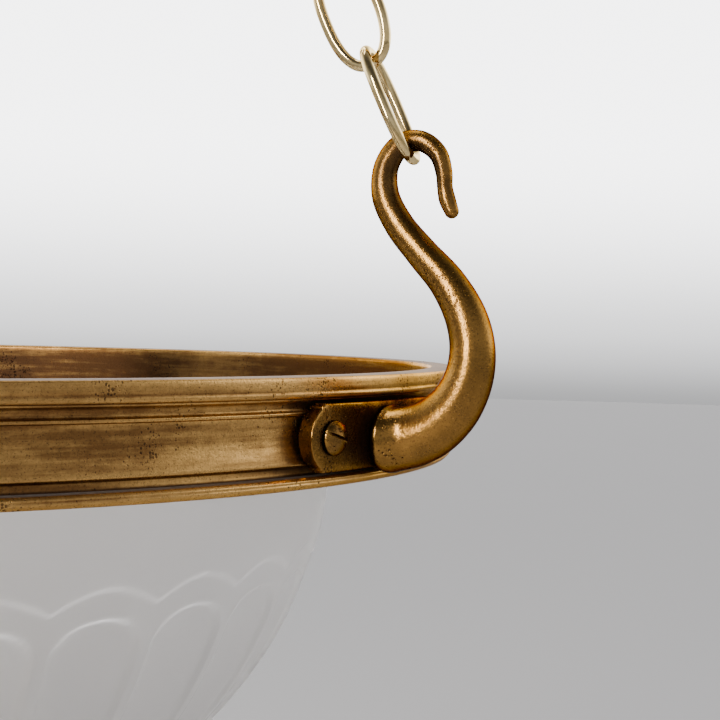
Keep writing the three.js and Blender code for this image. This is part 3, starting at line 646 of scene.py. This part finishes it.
# Oval link of round wire, its length along its own Z
def makeLinkTree():
    tree, given = geometryTree("chainLink", [
        ("Length", "NodeSocketFloat"), ("Width", "NodeSocketFloat"), ("Wire", "NodeSocketFloat"),
        ("Roundness", "NodeSocketFloat"), ("Steps", "NodeSocketInt"), ("Sides", "NodeSocketInt"),
        ("Place", "NodeSocketVector"), ("Turn", "NodeSocketRotation"), ("Material", "NodeSocketMaterial")])
    circle = node(tree, "GeometryNodeCurvePrimitiveCircle", {"Resolution": given["Steps"], "Radius": 1.0})
    where = node(tree, "ShaderNodeSeparateXYZ", {0: node(tree, "GeometryNodeInputPosition").outputs[0]})

    def eased(value, span):
        size = math2(tree, "POWER", math2(tree, "ABSOLUTE", value), math2(tree, "DIVIDE", 2.0, given["Roundness"]))
        half = math2(tree, "MULTIPLY", math2(tree, "SUBTRACT", span, given["Wire"]), 0.5)
        return math2(tree, "MULTIPLY", math2(tree, "MULTIPLY", size, half), math2(tree, "SIGN", value))

    spot = node(tree, "ShaderNodeCombineXYZ", {"X": eased(where.outputs["X"], given["Width"]),
                                               "Z": eased(where.outputs["Y"], given["Length"])})
    oval = node(tree, "GeometryNodeSetPosition", {"Geometry": circle.outputs[0], "Position": spot.outputs[0]})
    evened = node(tree, "GeometryNodeResampleCurve", {"Curve": oval.outputs[0], "Count": given["Steps"]})
    section = node(tree, "GeometryNodeCurvePrimitiveCircle",
                   {"Resolution": given["Sides"], "Radius": math2(tree, "MULTIPLY", given["Wire"], 0.5)})
    wire = node(tree, "GeometryNodeCurveToMesh", {"Curve": evened.outputs[0], "Profile Curve": section.outputs[0]})
    smooth = node(tree, "GeometryNodeSetShadeSmooth", {"Geometry": wire.outputs[0]})
    moved = node(tree, "GeometryNodeTransform", {"Geometry": smooth.outputs[0], "Translation": given["Place"],
                                                 "Rotation": given["Turn"]})
    closeTree(tree, moved.outputs[0], given["Material"])
    return tree


linkShape = {"Length": 32 * mm, "Width": 17.5 * mm, "Wire": 2.8 * mm, "Roundness": 2.35, "Steps": 96, "Sides": 20}
firstLinkTurn = 10  # degrees


def chainLink(tree, chain, k, centres, line, azimuth):
    tangent = Vector((-math.sin(math.radians(azimuth)), math.cos(math.radians(azimuth)), 0))
    turn = (0 if k % 2 == 0 else 90) + (firstLinkTurn if k == 0 else 0)
    wide = Matrix.Rotation(math.radians(turn), 3, line) @ tangent
    facing = line.cross(wide)
    basis = Matrix((wide, facing, line)).transposed()
    name = f"chain{chain}Link{k + 1:02d}"
    settings = dict(linkShape, Place=centres[k], Turn=basis.to_euler(), Material=chainBrass)
    return grown(name, tree, settings)


linkTree = makeLinkTree()
for chain, azimuth in enumerate(azimuths, 1):
    names = [f"chain_{chain}_link_{k + 1:02d}" for k in range(linkCount)]
    centres = [(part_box(name)[0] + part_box(name)[1]) / 2 for name in names]
    line = (centres[-1] - centres[0]).normalized()
    for k, name in enumerate(names):
        link = chainLink(linkTree, chain, k, centres, line, azimuth)
        markWear(link, rounds=4, reach=0.5)
        finished(link, f"link_{chain}_{k + 1:02d}", chainBrass, name)
print("chains made")


# Slotted screws: one screw stood on every point of a seed mesh

# A screw along Z with a domed or flat head; its head's seat is at height 0
def slottedScrew(radius, crown, point, shank, length, slotWidth, slotDepth):
    edge = 0.35
    dome = [(radius * math.cos(a), edge + (crown - edge) * math.sin(a) ** point)
            for a in np.linspace(0, math.pi / 2, 14)[:-1]]
    profile = [(0, -length), (shank, -length), (shank, 0), (radius - 0.3, 0), (radius, 0.2)] + dome + [(0, crown)]
    cutter = joined(([(x, y, z) for x in (-3 * radius, 3 * radius) for y in (-slotWidth / 2, slotWidth / 2)
                      for z in (crown - slotDepth, crown + 3)],
                     [(0, 1, 3, 2), (4, 6, 7, 5), (0, 4, 5, 1), (2, 3, 7, 6), (0, 2, 6, 4), (1, 5, 7, 3)]))
    return combined(turned(profile, 40), cutter)


def makeScrewTree():
    tree, given = geometryTree("screwsOnPoints", [("Screw", "NodeSocketObject"), ("Slot Turn", "NodeSocketFloat"),
                                                  ("Uneven", "NodeSocketFloat"), ("Seed", "NodeSocketInt"),
                                                  ("Material", "NodeSocketMaterial")])
    aim = node(tree, "GeometryNodeInputNamedAttribute", {"Name": "aim"}, data_type="FLOAT_VECTOR").outputs[0]
    stand = node(tree, "FunctionNodeAlignRotationToVector", {"Vector": aim}, axis="Z")
    chance = node(tree, "FunctionNodeRandomValue", {"Seed": given["Seed"]}, data_type="FLOAT")
    spread = math2(tree, "MULTIPLY", math2(tree, "SUBTRACT", chance.outputs[1], 0.5), given["Uneven"])
    spin = node(tree, "ShaderNodeCombineXYZ", {"Z": math2(tree, "ADD", given["Slot Turn"], spread)})
    turn = node(tree, "FunctionNodeEulerToRotation", {0: spin.outputs[0]})
    both = node(tree, "FunctionNodeRotateRotation", {0: stand.outputs[0], 1: turn.outputs[0]}, rotation_space="LOCAL")
    screw = node(tree, "GeometryNodeObjectInfo", {"Object": given["Screw"]})
    points = node(tree, "GeometryNodeMeshToPoints", {"Mesh": tree.nodes["Group Input"].outputs[0]})
    many = node(tree, "GeometryNodeInstanceOnPoints",
                {"Points": points.outputs[0], "Instance": screw.outputs["Geometry"], "Rotation": both.outputs[0]})
    closeTree(tree, many.outputs[0], given["Material"])
    return tree


screwTree = makeScrewTree()


def screwsOn(name, seats, screw, slotTurn, uneven, material):
    source = meshObject(name + "Source", *screw, material, sharp=35)
    seedMesh = bpy.data.meshes.new(name + "Seats")
    seedMesh.from_pydata([tuple(np.array(place) * mm) for place, _ in seats], [], [])
    aims = seedMesh.attributes.new("aim", "FLOAT_VECTOR", "POINT")
    aims.data.foreach_set("vector", np.ravel([aim for _, aim in seats]))
    screws = grown(name, screwTree, {"Screw": source, "Slot Turn": math.radians(slotTurn),
                                     "Uneven": math.radians(uneven), "Seed": 4, "Material": material}, seedMesh)
    bpy.data.objects.remove(source)
    screws.data.set_sharp_from_angle(angle=math.radians(35))
    return markWear(screws, rounds=4, reach=0.2)


lugScrewShape = dict(radius=4.1, crown=2.55, point=1.35, shank=1.9, length=6, slotWidth=0.9, slotDepth=1.5)
plateScrewShape = dict(radius=3.95, crown=0.55, point=1.0, shank=1.9, length=29, slotWidth=0.9, slotDepth=0.5)
screwSeats = dict(lug=199.7, plateCircle=32, plateDepth=-4.6)

lugSeats, plateSeats = [], []
for azimuth in azimuths:
    for side in (-1, 1):
        a = math.radians(azimuth) + side * lugShape["screw"] / lugShape["face"]
        out = (math.cos(a), math.sin(a), 0)
        lugSeats.append(((screwSeats["lug"] * out[0], screwSeats["lug"] * out[1], rim - lugShape["drop"]), out))
    a = math.radians(azimuth + 60)
    spot = (screwSeats["plateCircle"] * math.cos(a), screwSeats["plateCircle"] * math.sin(a), screwSeats["plateDepth"])
    plateSeats.append((spot, (0, 0, -1)))
lugScrews = screwsOn("lugScrews", lugSeats, slottedScrew(**lugScrewShape), -27, 0, castBrass)
finished(lugScrews, "pendant", castBrass, *[f"hook_screw_{i}{j}" for i in (1, 2, 3) for j in "ab"])
plateScrews = screwsOn("plateScrews", plateSeats, slottedScrew(**plateScrewShape), 20, 160, platedSteel)
finished(plateScrews, "ceiling_fixture", platedSteel, *[f"ceiling_screw_{i}" for i in (1, 2, 3)])
print("screws made")


# Crown: turned hub with three swept arms, eyes for the chains and an eye on top

crownShape = dict(eye=4.4, eyeWire=3.6, arm=6.4, armTip=4.9, rise=20, topEye=7, topWire=5, foot=-8, top=38,
                  inlet=3, bore=5.3)


def bezier(corners, t):
    return np.array([(1 - t) ** 3, 3 * t * (1 - t) ** 2, 3 * t ** 2 * (1 - t), t ** 3]) @ np.array(corners, float)


def tipped(axis, degrees=90):
    return Matrix.Rotation(math.radians(degrees), 3, axis)


def castCrown(s):
    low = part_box("crown")[0]
    reach = -low.y / mm - s["eye"] - s["eyeWire"] / 2  # hub to the middle of an arm's eye
    hub = rounded([(0, s["foot"], 0), (9.9, s["foot"], 1), (9.9, -3.4, 0.6), (10.9, -3.0, 0.6), (10.9, -1.2, 0.6),
                   (10.0, -0.6, 0.8), (11.2, 3.2, 2), (12.9, 4.8, 1), (12.9, 6.4, 0.8), (12.2, 7.0, 0.5),
                   (12.2, 23.2, 0.5), (12.9, 23.8, 0.8), (12.9, 25.6, 0.8), (9.8, 27.6, 1.5), (7.2, 30.6, 1.5),
                   (8.3, 33.2, 1.4), (7.8, 35.6, 1.2), (5.4, s["top"], 1.5), (0, s["top"], 0)], 4, closed=False)
    inlet = placed(rod(s["inlet"], 0, 30), azimuths[0] + 60, (0, 0, s["rise"] - 10), tipped("Y", 60))
    hub = combined(combined(turned(hub, 96), inlet), rod(s["bore"], s["foot"] - 1, 4.3))
    corners = [(6.5, s["rise"]), (0.5 * reach, s["rise"] + 16), (reach - 2, s["rise"] + 8), (reach, s["eye"])]
    arm = []
    for t in np.linspace(0, 1, 60):
        x, z = bezier(corners, t)
        flare = 1.9 * max(0, 1 - t * 7) ** 2  # thicker where it leaves the hub
        arm.append((x, 0, z, s["arm"] + (s["armTip"] - s["arm"]) * t + flare))
    eye = placed(torus(s["eye"], s["eyeWire"], 56, 20), 0, (reach, 0, 0), tipped("X"))
    bead = swept(np.array([(reach, 0, z, d) for z, d in ((4.6, 5.2), (5.6, 6.2), (6.8, 6.2), (7.8, 5.2))]), 28)
    parts = [hub]
    for azimuth in azimuths:
        parts += [placed(part, azimuth) for part in (swept(np.array(arm), 32), eye, bead)]
    parts.append(placed(torus(s["topEye"], s["topWire"], 72, 24), 0, (0, 0, s["top"] + s["topEye"]), tipped("X")))
    crown = placed(joined(*parts), 0, (0, 0, low.z / mm - s["foot"]))
    piece("castCrown", crown, castBrass, "pendant", "crown", sharp=40, wear=(8, 0.3))


castCrown(crownShape)
print("crown made")


# Ceiling fittings: plate, hook of round bar, its nut and the ring that hangs in it

ceilingShape = dict(plate=44, screwCircle=32, bar=6.8, barTip=4.6, loop=13.5, loopMiddle=-43.5, loopTurns=(55, -215),
                    nut=8, nutBore=3.7, nutTop=-14.3, nutFoot=-19.3, threads=6, threadPitch=0.9, ring=17, ringWire=5)


def hexNut(radius, bore, low, high):
    flat = radius * math.cos(math.pi / 6)
    hexagon = turned([(0, low), (radius, low), (radius, high), (0, high)], 6)
    edge = 0.7 * (radius - flat)
    chamfered = turned([(0, low), (flat + 0.1, low), (radius + 0.1, low + edge), (radius + 0.1, high - edge),
                        (flat + 0.1, high), (0, high)], 72)
    return combined(combined(hexagon, chamfered, "INTERSECT"), rod(bore, low - 1, high + 1))


def ceilingFittings(s):
    edge, bore = s["plate"], s["nutBore"]
    plate = rounded([(bore, -14, 0.4), (10.8, -14, 1.2), (10.8, -11.2, 0.5), (10.0, -10.8, 0.4), (10.0, -9.0, 0.5),
                     (11.2, -6.8, 1.2), (14, -5, 1.0), (edge - 5.5, -5, 0.4), (edge - 4.8, -4.4, 0.3),
                     (edge - 3.6, -4.5, 0.5), (edge - 1.6, -4.4, 1.0), (edge, -2.6, 1.0), (edge, 0, 0.2),
                     (bore, 0, 0)], 4)
    disc = turned(dense(plate, 1.5), 160)
    hole = turned([(0, -6), (4.6, -6), (4.3, -4.6), (2.3, -2.6), (2.3, 1), (0, 1)], 32)
    for azimuth in azimuths:
        a = math.radians(azimuth + 60)
        disc = combined(disc, placed(hole, 0, (s["screwCircle"] * math.cos(a), s["screwCircle"] * math.sin(a), 0)))
    piece("ceilingPlate", disc, tubeBrass, "ceiling_fixture", "ceiling_plate", sharp=35, wear=(6, 0.3))
    loop, radius = s["loopMiddle"], s["loop"]
    bend = math.radians(s["loopTurns"][0])
    joinX, joinZ = radius * math.cos(bend), loop + radius * math.sin(bend)
    bar = [(0, z) for z in np.linspace(-3.3, -19.4, 12)]
    corners = [(0, -19.6), (0, joinZ + 3), (joinX - 6 * math.sin(bend), joinZ + 6 * math.cos(bend)), (joinX, joinZ)]
    bar += [tuple(bezier(corners, t)) for t in np.linspace(0, 1, 24)[:-1]]
    bar += [(radius * math.cos(a), loop + radius * math.sin(a)) for a in np.radians(np.linspace(*s["loopTurns"], 110))]
    thick = [s["bar"] - (s["bar"] - s["barTip"]) * smooth01(k / (len(bar) - 1), 0.82, 1.0) for k in range(len(bar))]
    hook = swept(np.array([(x, 0, z, d) for (x, z), d in zip(bar, thick)]), 32)
    thread = [placed(torus(3.2, 0.75, 32, 8), 0, (0, 0, s["nutTop"] - s["threadPitch"] * k))
              for k in range(s["threads"])]
    piece("ceilingHook", joined(hook, *thread), castBrass, "ceiling_fixture", "ceiling_hook", sharp=50, wear=(8, 0.3))
    nut = hexNut(s["nut"], bore, s["nutFoot"], s["nutTop"])
    piece("ceilingNut", nut, tubeBrass, "ceiling_fixture", "ceiling_hook_nut", sharp=25, wear=(2, 0.3))
    low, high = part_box("top_ring")
    ring = placed(torus(s["ring"], s["ringWire"], 120, 28), 0, (0, 0, (low.z + high.z) / 2 / mm), tipped("Y"))
    piece("topRing", ring, chainBrass, "top_ring_body", "top_ring", wear=(4, 0.4))


ceilingFittings(ceilingShape)
print("ceiling fittings made")


# Stem and lampholder; heights are from the ring's rim

lampShape = dict(stem=4.95, stemBore=3.5, nut=9, nutBore=5.2, bore=11.5, pin=19.4, play=1.3, turn=20,
                 insulator=11.1, contactHole=1.6, contactApart=4)


def bayonetSlots(body, s):
    reach = s["play"] / 12  # half a slot's width, in radians
    turnEnd = math.radians(s["turn"])
    for side in (0, math.pi):
        for a0, a1, z0, z1 in ((side - reach, side + turnEnd + reach, s["pin"] - s["play"], s["pin"] + s["play"]),
                               (side + turnEnd - reach, side + turnEnd + reach, 4, s["pin"])):
            arc = np.linspace(a0, a1, 8)
            outline = [(r * math.cos(a), r * math.sin(a)) for r, run in ((16, arc), (10, arc[::-1])) for a in run]
            count = len(outline)
            block = [(x, y, z) for z in (z0, z1) for x, y in outline]
            sides = [(i, (i + 1) % count, count + (i + 1) % count, count + i) for i in range(count)]
            body = combined(body, (block, sides + [tuple(range(count))[::-1], tuple(range(count, 2 * count))]))
    return body


def lampFittings(s):
    low, high = (corner.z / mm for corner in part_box("drop_stem"))
    stem = turned([(s["stemBore"], low), (s["stem"], low), (s["stem"], high), (s["stemBore"], high)], 64)
    piece("dropStem", stem, tubeBrass, "pendant", "drop_stem", sharp=40, wear=(2, 0.3))
    low, high = (corner.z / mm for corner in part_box("stem_nut"))
    nut = hexNut(s["nut"], s["nutBore"], low, high)
    piece("stemNut", nut, tubeBrass, "pendant", "stem_nut", sharp=25, wear=(2, 0.3))
    cap = rounded([(13.4, 36.5, 0.3), (14.9, 36.5, 0.5), (14.9, 38.2, 0.4), (14.4, 38.6, 0.2), (14.4, 39.6, 0.2),
                   (14.9, 40.0, 0.4), (14.9, 42.0, 0.6), (14.0, 42.8, 0.6), (13.6, 46.0, 1.6), (11.6, 50.6, 2.5),
                   (8.6, 53.2, 1.2), (8.0, 53.6, 0.3), (8.0, 55.2, 0.4), (7.2, 56, 0.4), (5.2, 56, 0.1), (5.2, 44, 0),
                   (10.4, 38.4, 0.2)], 4)
    cap = placed(turned(dense(cap, 1.5), 96), 0, (0, 0, rim))
    piece("holderCap", cap, tubeBrass, "pendant", "lampholder_cap", sharp=40, wear=(6, 0.3))
    body = rounded([(s["bore"], 6, 0.2), (13.6, 6, 0.3), (14, 6.6, 0.4), (14, 8.4, 0.4), (13.2, 9, 0.2),
                    (13.2, 13.5, 0.2), (13.9, 14, 0.3), (13.9, 23.5, 0.3), (13.3, 24, 0.2), (13.3, 25, 0.2),
                    (14, 25.6, 0.5), (14, 27.6, 0.5), (13.3, 28.2, 0.2), (13.3, 34.6, 0.2), (13.9, 35.2, 0.4),
                    (13.9, 36, 0.2), (s["bore"], 36, 0.1)], 3)
    body = placed(bayonetSlots(turned(body, 96), s), 0, (0, 0, rim))
    piece("holderBody", body, tubeBrass, "pendant", "lampholder_body", sharp=35, wear=(3, 0.3))
    low, high = (corner.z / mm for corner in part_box("lampholder_insulator"))
    disc = turned(rounded([(0, low, 0), (s["insulator"], low, 0.6), (s["insulator"], high, 0.6), (0, high, 0)], 3,
                          closed=False), 64)
    for x in (-s["contactApart"], s["contactApart"]):
        disc = combined(disc, placed(rod(s["contactHole"], low - 1, low + 6, 24), 0, (x, 0, 0)))
    piece("holderInsulator", disc, mouldedResin, "pendant", "lampholder_insulator", sharp=35)


lampFittings(lampShape)


# Bulb: bayonet cap, clear envelope, stalk and a looped filament

bulbShape = dict(cap=10.9, foot=2.4, top=26.4, pin=19.4, radius=30, middle=-49.6, glass=0.8, filament=13,
                 filamentDrop=-44, filamentWire=0.34, leadWire=0.5)


def bulb(s):
    foot, top, wide = s["foot"], s["top"], s["cap"]
    shell = rounded([(0, top, 0), (wide - 1.3, top, 1.0), (wide, top - 1.4, 0.6), (wide, foot + 3, 0.3),
                     (wide - 0.3, foot + 2.4, 0.3), (wide, foot + 1.8, 0.3), (wide, foot, 0.2),
                     (wide - 0.9, foot, 0.1), (wide - 0.9, top - 3, 0.4), (0, top - 2, 0)][::-1], 3, closed=False)
    pin = rounded([(0, 10.4, 0), (0.95, 10.4, 0), (0.95, 12.5, 0.2), (0, 12.5, 0)], 3, closed=False)
    pins = [placed(turned(pin, 20), side, (0, 0, s["pin"]), tipped("Y")) for side in (0, 180)]
    cap = placed(joined(turned(shell, 72), *pins), 0, (0, 0, rim))
    piece("bulbCap", cap, platedSteel, "bulb", "bulb_cap", sharp=40, wear=(3, 0.3))

    def wall(inset):
        radius = s["radius"] - inset
        ball = [(radius * math.cos(a), s["middle"] + radius * math.sin(a))
                for a in np.radians(np.linspace(-90, 34, 44))]
        ball[0] = (0, ball[0][1])
        neck = [(19.2 - inset, -22), (13.6 - inset, -11), (10.9 - inset, -4.5), (9.75 - inset, 2.0), (9.7 - inset, 12),
                (9.7 - inset, 20.4)]
        neck = smoothLine([(x, 0, z, 1) for x, z in ball[-1:] + neck], 26)
        return ball[:-1] + [(x, z) for x, _, z, _ in neck]

    envelope = placed(turned(wall(0) + wall(s["glass"])[::-1], 96), 0, (0, 0, rim))
    piece("bulbGlass", envelope, clearGlass, "bulb", "bulb_glass", sharp=60)
    stalk = turned(rounded([(0, -24, 0), (2.2, -24, 0.8), (1.7, -18, 0.5), (1.8, 2, 1), (4.5, 12, 2), (8.6, 16, 0.5),
                            (8.6, 17, 0), (0, 17, 0)], 3, closed=False), 32)
    piece("bulbStalk", placed(stalk, 0, (0, 0, rim)), clearGlass, "bulb", sharp=60)
    half, drop, lead = s["filament"], s["filamentDrop"], s["leadWire"]
    leads = [swept(smoothLine([(x * 0.35, 0, -14, lead), (x * 0.5, 0, -24, lead), (x, 0, drop, lead)], 20), 8)
             for x in (-half, half)]
    coil = []
    for x in np.linspace(-half, half, 90):
        a = (x + half) / (2 * half) * math.pi
        coil.append((x, 4.5 * math.sin(3 * a), drop - 1.2 * math.sin(a), s["filamentWire"]))
    filament = placed(joined(*leads, swept(np.array(coil), 6, across=(0, 0, 1))), 0, (0, 0, rim))
    piece("bulbFilament", filament, platedSteel, "bulb")


bulb(bulbShape)
print("lamp made")


# Camera, floor and light

view = dict(place=(-337.7, -368.7), aboveRim=12.35, heading=62.28, pitch=-1.363, roll=1.142, lens=78)


def makeCamera(v):
    heading, pitch, roll = (math.radians(v[key]) for key in ("heading", "pitch", "roll"))
    ahead = Vector((math.sin(heading) * math.cos(pitch), math.cos(heading) * math.cos(pitch), math.sin(pitch)))
    right = Vector((math.cos(heading), -math.sin(heading), 0))
    up = right.cross(ahead)
    right, up = right * math.cos(roll) + up * math.sin(roll), up * math.cos(roll) - right * math.sin(roll)
    data = bpy.data.cameras.new("camera")
    data.lens, data.sensor_width, data.clip_end = v["lens"], 36, 100
    camera = bpy.data.objects.new("camera", data)
    stand = Matrix.Translation((v["place"][0] * mm, v["place"][1] * mm, (rim + v["aboveRim"]) * mm))
    camera.matrix_world = stand @ Matrix((right, up, -ahead)).transposed().to_4x4()
    bpy.context.scene.collection.objects.link(camera)
    bpy.context.scene.camera = camera


def areaLight(name, place, aim, size, power, colour=(1, 1, 1)):
    data = bpy.data.lights.new(name, "AREA")
    data.shape, data.size, data.size_y = "RECTANGLE", size[0], size[1]
    data.energy, data.color = power, colour
    light = bpy.data.objects.new(name, data)
    light.location = place
    light.rotation_euler = (Vector(aim) - Vector(place)).to_track_quat("-Z", "Y").to_euler()
    bpy.context.scene.collection.objects.link(light)


def plainMaterial(name, colour, roughness=0.8):
    material, tree, shader = shaderMaterial(name, Roughness=roughness)
    tone = noise(tree, ownPlace(tree), 1.2, 2, 0.4)
    lighter = tuple(min(1, c * 1.03) for c in colour[:3]) + (1,)
    feed(tree, shader, {"Base Color": blendColour(tree, tone, colour, lighter)})
    return material


# Behind, front and back set which way the room is bright; below its edge the world is plain floor
studio = dict(behind=(0.8853, 0.465), front=0.15, back=1.4, lift=2.9, fall=0.85, edge=(-0.05, 0.0), floorTone=0.545,
              floorDrop=250, floorThick=20, floorRadius=8500, floorColour=linear(160, 158, 158))


def makeWorld(s):
    world = bpy.data.worlds.new("studio")
    world.use_nodes = True
    tree = world.node_tree
    plus, minus, times = sums(tree)
    way = node(tree, "ShaderNodeSeparateXYZ", {0: node(tree, "ShaderNodeTexCoord").outputs["Generated"]}).outputs
    bright = plus(times(way["X"], s["behind"][0]), times(way["Y"], s["behind"][1]))
    side = node(tree, "ShaderNodeMapRange", {"Value": bright, "From Min": -0.35, "From Max": 0.85,
                                             "To Min": s["front"], "To Max": s["back"]})
    side.interpolation_type = "SMOOTHSTEP"
    lift = plus(1.0, times(ramp(tree, way["Z"], -0.02, 0.12), s["lift"]))
    fall = minus(1.0, times(ramp(tree, way["Z"], 0.3, 0.85), s["fall"]))
    above = times(times(side.outputs[0], lift), fall)
    edge = ramp(tree, way["Z"], *s["edge"])
    background = tree.nodes["Background"]
    background.inputs["Color"].default_value = (0.985, 0.985, 1.0, 1)
    tree.links.new(plus(times(above, edge), times(minus(1.0, edge), s["floorTone"])), background.inputs["Strength"])
    bpy.context.scene.world = world


def makeFloor(s):
    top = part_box("glass_bowl")[0].z / mm - s["floorDrop"]
    foot = top - s["floorThick"]
    disc = turned([(0, foot), (s["floorRadius"], foot), (s["floorRadius"], top), (0, top)], 128)
    meshObject("floor", *disc, plainMaterial("paleFloor", s["floorColour"]), sharp=40)


makeCamera(view)
makeWorld(studio)
makeFloor(studio)
areaLight("keyLight", (-1.35, 0.0, rim * mm + 0.5), (0, -0.2, rim * mm), (0.16, 0.9), 27, (1, 0.91, 0.75))
areaLight("topLight", (0.3, 0.5, rim * mm + 1.5), (0, 0, rim * mm), (0.9, 0.9), 16)
print("studio made")
